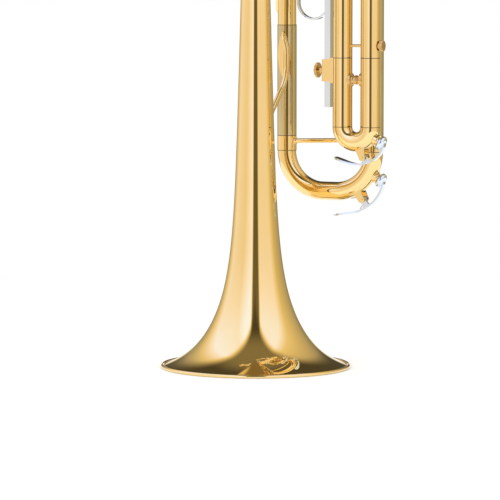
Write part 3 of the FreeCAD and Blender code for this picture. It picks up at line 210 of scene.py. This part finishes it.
# ---- materials ----
def polished_metal(name, bright, tarnished, roughness, coat=0.0):
    """Buffed plated or lacquered metal: faint cloudiness, fine buffing lines and soft unevenness."""
    material, tree, shader = new_material(name)
    shader.inputs["Metallic"].default_value = 1.0
    shader.inputs["Coat Weight"].default_value = coat
    shader.inputs["Coat Roughness"].default_value = 0.02
    clouds = noise(tree, 35.0, 4.0)
    colour = ramp(tree, clouds, (0.35, tarnished), (0.6, bright))
    tree.links.new(colour, shader.inputs["Base Color"])
    grain = noise(tree, 900.0, 2.0, (1.0, 1.0, 0.08))
    spots = noise(tree, 60.0, 5.0)
    both = math_node(tree, "MULTIPLY", grain, spots)
    rough = map_range(tree, both, 0.1, 0.5, roughness * 0.7, roughness * 1.5)
    tree.links.new(rough, shader.inputs["Roughness"])
    bump(tree, shader, noise(tree, 45.0, 2.0), 0.02, 0.00002)
    return material


def lacquered_brass():
    return polished_metal("lacquered_brass", (0.98, 0.735, 0.31), (0.965, 0.715, 0.29), 0.03, 1.0)


def nickel_silver():
    return polished_metal("nickel_silver", (0.68, 0.58, 0.34), (0.62, 0.52, 0.3), 0.07)


def soft_material(name, dark, light, scale, roughness, relief):
    """Felt, cork, nylon or pearl: mottled colour with a little relief."""
    material, tree, shader = new_material(name)
    pattern = noise(tree, scale, 6.0, roughness=0.65)
    tree.links.new(ramp(tree, pattern, (0.35, dark), (0.65, light)), shader.inputs["Base Color"])
    shader.inputs["Roughness"].default_value = roughness
    bump(tree, shader, pattern, 0.4, relief)
    return material


def make_materials():
    return {
        "lacquered_brass": lacquered_brass(),
        "nickel_silver": nickel_silver(),
        "inner_tube_nickel": polished_metal(
            "inner_tube_nickel", (0.72, 0.66, 0.52), (0.66, 0.6, 0.47), 0.08),
        "chrome_plate": polished_metal("chrome_plate", (0.8, 0.89, 1.0), (0.74, 0.83, 0.94), 0.05, 0.5),
        "seam": polished_metal("seam", (0.16, 0.11, 0.05), (0.07, 0.045, 0.02), 0.4),
        # darker brass for the screw, brace and stop, partly painted shade
        "darkened_brass": polished_metal("darkened_brass", (0.8, 0.56, 0.24), (0.66, 0.45, 0.18), 0.14),
        "silver_plate": polished_metal("silver_plate", (0.95, 0.93, 0.88), (0.89, 0.86, 0.8), 0.04),
        "piston_nickel": polished_metal("piston_nickel", (0.7, 0.67, 0.6), (0.62, 0.59, 0.53), 0.12),
        "spring_steel": polished_metal("spring_steel", (0.56, 0.56, 0.57), (0.45, 0.45, 0.46), 0.2),
        "guide_nylon": soft_material(
            "guide_nylon", (0.78, 0.76, 0.7), (0.88, 0.87, 0.82), 300.0, 0.4, 0.00005),
        "pearl": soft_material("pearl", (0.72, 0.7, 0.66), (0.92, 0.91, 0.88), 160.0, 0.12, 0.00002),
        "felt": soft_material("felt", (0.28, 0.26, 0.24), (0.5, 0.48, 0.44), 900.0, 0.95, 0.0003),
        "cork": soft_material("cork", (0.3, 0.18, 0.09), (0.62, 0.43, 0.25), 700.0, 0.85, 0.0002),
    }


def dress_nodes(materials):
    for name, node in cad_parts.items():
        for slot in node.material_slots:
            slot_name = "darkened_brass" if name in DARKENED_NODES else slot.material.name.split(".")[0]
            slot.material = materials[slot_name]
        if name in SOFT_EDGED_NODES:
            soften_edges(node)


# ---- bell ----
def flare(z):
    """Outside radius of the bell and its slope at a height, in metres."""
    wide = FLARE_WIDE[0] * math.exp(-z / FLARE_WIDE[1])
    lip = FLARE_LIP[0] * math.exp(-z / FLARE_LIP[1])
    radius = FLARE_BASE - FLARE_TAPER * z + wide + lip
    return radius, FLARE_TAPER + wide / FLARE_WIDE[1] + lip / FLARE_LIP[1]


def flare_heights(low):
    """Heights of the flare's rings, closest together near the rim."""
    shares = [(i / (FLARE_RINGS - 1)) ** FLARE_CROWDING for i in range(FLARE_RINGS)]
    return [low + (STEM_TOP - low) * share for share in shares]


def bead_outline():
    """The rolled rim as (radius, z), from the outside of the flare round to its inside."""
    across, middle = BEAD_CENTRE
    angles = [160 - 14 * i for i in range(16)] + [-61.6, -118.4, -140, -160, -180]
    turns = [math.radians(angle) for angle in angles]
    return [(across + BEAD_RADIUS * math.cos(a), middle + BEAD_RADIUS * math.sin(a)) for a in turns]


def bell_rings():
    """Rings of the bell's skin as (centre, outward direction in the bow's plane, radius)."""
    away = BRANCH.normalized()
    up = Vector((0, 0, 1))
    pivot = BRANCH / 2 + up * BOW_HEIGHT
    outside = [(up * z, -away, flare(z)[0]) for z in flare_heights(FLARE_START)]
    bow = []
    for i in range(BOW_RINGS + 1):
        turn = math.pi * i / BOW_RINGS
        spoke = up * math.sin(turn) - away * math.cos(turn)
        bow.append((pivot + spoke * (BRANCH.length / 2), spoke))
    bow.append((BRANCH + up * BRANCH_END, away))
    outer_bow = [(centre, spoke, BELL_TUBE_RADIUS) for centre, spoke in bow]
    inner_bow = [(centre, spoke, BELL_BORE_RADIUS) for centre, spoke in reversed(bow)]
    inside = []
    for z in reversed(flare_heights(BEAD_CENTRE[1])):
        radius, slope = flare(z)
        inside.append((up * z, -away, radius - BELL_WALL * math.hypot(1, slope)))
    bead = [(up * z, -away, radius) for radius, z in reversed(bead_outline())]
    return outside + outer_bow + inner_bow + inside + bead


def make_bell(material):
    """The bell again with even quads, so that its reflections run straight."""
    sideways = BRANCH.normalized().cross(Vector((0, 0, 1)))
    vertices = []
    rings = bell_rings()
    for centre, spoke, radius in rings:
        for i in range(BELL_SIDES):
            turn = 2 * math.pi * i / BELL_SIDES
            vertices.append(centre + (spoke * math.cos(turn) + sideways * math.sin(turn)) * radius)
    faces = []
    for k in range(len(rings)):
        here = k * BELL_SIDES
        there = (k + 1) % len(rings) * BELL_SIDES
        for i in range(BELL_SIDES):
            after = (i + 1) % BELL_SIDES
            faces.append((here + i, here + after, there + after, there + i))
    bell = add_piece("bell_skin", vertices, faces, material, "trumpet_body")
    bell.data.set_sharp_from_angle(angle=math.radians(35.0))
    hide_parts("bell")


def new_piece(name, vertices, faces, material):
    """A smooth mesh in the CAD frame with the finish it is given."""
    mesh = bpy.data.meshes.new(name)
    mesh.from_pydata(vertices, [], faces)
    mesh.shade_smooth()
    mesh.materials.append(material)
    piece = bpy.data.objects.new(name, mesh)
    bpy.context.scene.collection.objects.link(piece)
    return piece


def add_piece(name, vertices, faces, material, body):
    piece = new_piece(name, vertices, faces, material)
    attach(piece, body)
    return piece


# ---- springs ----
def node_part(name, keep):
    """World vertices and faces of the part of a CAD node whose vertices all pass keep."""
    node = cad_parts[name]
    places = [node.matrix_world @ vertex.co for vertex in node.data.vertices]
    numbers = {}
    for i, place in enumerate(places):
        if keep(place):
            numbers[i] = len(numbers)
    vertices = [places[i] for i in numbers]
    polygons = [tuple(polygon.vertices) for polygon in node.data.polygons]
    whole = [polygon for polygon in polygons if all(i in numbers for i in polygon)]
    faces = [tuple(numbers[i] for i in polygon) for polygon in whole]
    return vertices, faces


def make_valve_springs(material):
    """One spring for each valve, cut from the CAD springs by height and fixed to the body."""
    for number, z in VALVE_HEIGHTS.items():
        vertices, faces = node_part("valve_springs", lambda place: abs(place.z - z) < VALVE_PITCH / 2)
        name = "valve_spring_" + number
        spring = add_piece(name, vertices, faces, material, "trumpet_body")
        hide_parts("valve_springs")
        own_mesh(spring)


def make_key_springs(material):
    """The water keys' torsion springs, each copied whole from its CAD node."""
    for node, slide, key, hinge, arm in KEY_SPRINGS:
        vertices, faces = node_part(node, lambda place: True)
        spring = new_piece(node + "_wire", vertices, faces, material)
        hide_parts(node)
        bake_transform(spring)


# ---- seams ----
def seam_ring(vertices, faces, x, y, z, radius):
    """Adds a low rounded band round an upright tube, its top at z."""
    profile = ((-SEAM_PROUD, 0.0), (0.7 * SEAM_PROUD, 0.12), (SEAM_PROUD, 0.4), (SEAM_PROUD, 0.6),
               (0.7 * SEAM_PROUD, 0.88), (-SEAM_PROUD, 1.0))
    first = len(vertices)
    for i in range(SEAM_SIDES):
        angle = 2 * math.pi * i / SEAM_SIDES
        for proud, share in profile:
            reach = radius + proud
            vertices.append((x + reach * math.cos(angle), y + reach * math.sin(angle),
                             z - SEAM_HEIGHT * (1 - share)))
    points = len(profile)
    for i in range(SEAM_SIDES):
        here = first + i * points
        there = first + (i + 1) % SEAM_SIDES * points
        for k in range(points):
            after = (k + 1) % points
            faces.append((here + k, there + k, there + after, here + after))


def make_seams(material):
    """The thin dark lines left where one tube ends on another."""
    for body, rings in SEAMS.items():
        vertices = []
        faces = []
        for ring in rings:
            seam_ring(vertices, faces, *ring)
        add_piece("seams_" + body, vertices, faces, material, body)


def soften_edges(node):
    """Rounds the sharp edges of a plated piece a little, so that they catch the light."""
    edges = node.modifiers.new("soft edges", "BEVEL")
    edges.width = SOFT_EDGE
    edges.segments = 3
    edges.limit_method = "ANGLE"
    edges.angle_limit = math.radians(40.0)


# ---- studio ----
def make_world():
    """White to the camera and to matt surfaces; two tall soft panels round the object to mirrors."""
    world = bpy.data.worlds.new("studio")
    bpy.context.scene.world = world
    world.use_nodes = True
    tree = world.node_tree
    tree.nodes.clear()
    place = tree.nodes.new("ShaderNodeTexCoord")
    turn = tree.nodes.new("ShaderNodeMapping")
    turn.inputs["Rotation"].default_value = (0.0, 0.0, -math.radians(CAMERA_AZIMUTH))
    axes = tree.nodes.new("ShaderNodeSeparateXYZ")
    tree.links.new(place.outputs["Generated"], turn.inputs["Vector"])
    tree.links.new(turn.outputs["Vector"], axes.inputs["Vector"])
    right, away, up = (axes.outputs[name] for name in "XYZ")
    front = math_node(tree, "MULTIPLY", away, -1.0)

    azimuth = math_node(tree, "ARCTAN2", right, front)
    share = math_node(tree, "ADD", math_node(tree, "DIVIDE", azimuth, 2 * math.pi), 0.5)
    wall = ramp(tree, share, *[(at_azimuth(angle), level) for angle, level in WALL_LEVELS])
    gain = map_range(tree, up, -0.1, 0.8, 0.85, 1.15)
    wall = math_node(tree, "MULTIPLY", wall, gain)

    left_panel = panel_mask(tree, right, front, up, LEFT_PANEL)
    right_panel = panel_mask(tree, right, front, up, RIGHT_PANEL)
    panels = math_node(tree, "MAXIMUM", left_panel, right_panel)
    height = math_node(tree, "ABSOLUTE", up)
    horizon = map_range(tree, height, 0.06, 0.16, HORIZON_LEVEL, 0.0)
    ceiling = map_range(tree, up, 0.75, 0.98, 0.045, 0.14)
    room = math_node(tree, "ADD", ceiling, horizon)
    beyond = math_node(tree, "MULTIPLY", room, math_node(tree, "SUBTRACT", 1.0, panels))
    level = math_node(tree, "ADD", math_node(tree, "MULTIPLY", wall, panels), beyond)
    studio = ramp(tree, level, *STUDIO_TINTS)

    path = tree.nodes.new("ShaderNodeLightPath")
    seen = mix_by(tree, path.outputs["Is Glossy Ray"], DAYLIGHT, studio)
    seen = mix_by(tree, path.outputs["Is Camera Ray"], seen, PAPER_WHITE)
    background = tree.nodes.new("ShaderNodeBackground")
    background.inputs["Strength"].default_value = WORLD_STRENGTH
    tree.links.new(seen, background.inputs["Color"])
    output = tree.nodes.new("ShaderNodeOutputWorld")
    tree.links.new(background.outputs["Background"], output.inputs["Surface"])


def panel_mask(tree, right, front, up, panel):
    """1 where a direction meets a panel, 0 over its straight top edge; panel is (azimuth, steepness)."""
    azimuth, steepness = panel
    turn = math.radians(azimuth)
    sideways = math_node(tree, "MULTIPLY", right, steepness * math.sin(turn))
    forward = math_node(tree, "MULTIPLY", front, steepness * math.cos(turn))
    reach = math_node(tree, "SUBTRACT", math_node(tree, "ADD", sideways, forward), up)
    return map_range(tree, reach, -PANEL_SOFTNESS, PANEL_SOFTNESS, 0.0, 1.0)


def mix_by(tree, factor, first, second):
    node = tree.nodes.new("ShaderNodeMix")
    node.data_type = "RGBA"
    tree.links.new(factor, node.inputs["Factor"])
    for name, value in (("A", first), ("B", second)):
        socket = [s for s in node.inputs if s.name == name and s.type == "RGBA"][0]
        if isinstance(value, tuple):
            socket.default_value = (*value, 1.0)
        else:
            tree.links.new(value, socket)
    return [s for s in node.outputs if s.type == "RGBA"][0]


def at_azimuth(degrees):
    """Place on the wall ramp of a direction that many degrees right of the camera's."""
    return 0.5 + degrees / 360.0


def make_floor():
    bpy.ops.mesh.primitive_circle_add(vertices=FLOOR_SIDES, radius=FLOOR_RADIUS, fill_type="NGON")
    floor = bpy.context.object
    floor.name = "floor"
    material, tree, shader = new_material("floor_paper")
    grain = noise(tree, 400.0, 3.0)
    tree.links.new(ramp(tree, grain, (0.3, 0.93), (0.7, 0.95)), shader.inputs["Base Color"])
    shader.inputs["Roughness"].default_value = 0.9
    shader.inputs["Specular IOR Level"].default_value = 0.0
    floor.data.materials.append(material)


def make_light():
    """A large soft panel up and to the left, for the matt surfaces only."""
    data = bpy.data.lights.new("key", "AREA")
    data.shape = "RECTANGLE"
    data.size, data.size_y = LIGHT_SIZE
    data.energy = LIGHT_POWER
    light = bpy.data.objects.new("key", data)
    bpy.context.scene.collection.objects.link(light)
    side = math.radians(CAMERA_AZIMUTH + LIGHT_AZIMUTH)
    light.location = (LIGHT_DISTANCE * math.sin(side), -LIGHT_DISTANCE * math.cos(side), LIGHT_HEIGHT)
    aim = Vector((0, 0, LIGHT_TARGET)) - light.location
    light.rotation_euler = aim.to_track_quat("-Z", "Y").to_euler()
    light.visible_glossy = False


def make_camera():
    data = bpy.data.cameras.new("camera")
    data.lens = CAMERA_LENS
    data.sensor_width = 36.0
    data.clip_start = 0.05
    data.clip_end = 50.0
    camera = bpy.data.objects.new("camera", data)
    bpy.context.scene.collection.objects.link(camera)
    turn = math.radians(CAMERA_AZIMUTH)
    towards = Vector((math.sin(turn), -math.cos(turn), 0.0))
    side = Vector((math.cos(turn), math.sin(turn), 0.0)) * CAMERA_SIDE
    camera.location = towards * CAMERA_DISTANCE + side + Vector((0, 0, CAMERA_HEIGHT))
    target = side + Vector((0, 0, CAMERA_AIM))
    camera.rotation_euler = (target - camera.location).to_track_quat("-Z", "Y").to_euler()
    bpy.context.scene.camera = camera


def set_picture():
    scene = bpy.context.scene
    scene.view_settings.view_transform = "Standard"
    scene.view_settings.look = "None"


make_camera()
make_world()
make_floor()
make_light()
materials = make_materials()
dress_nodes(materials)
make_bell(materials["lacquered_brass"])
make_valve_springs(materials["spring_steel"])
make_key_springs(materials["spring_steel"])
make_seams(materials["seam"])
set_picture()
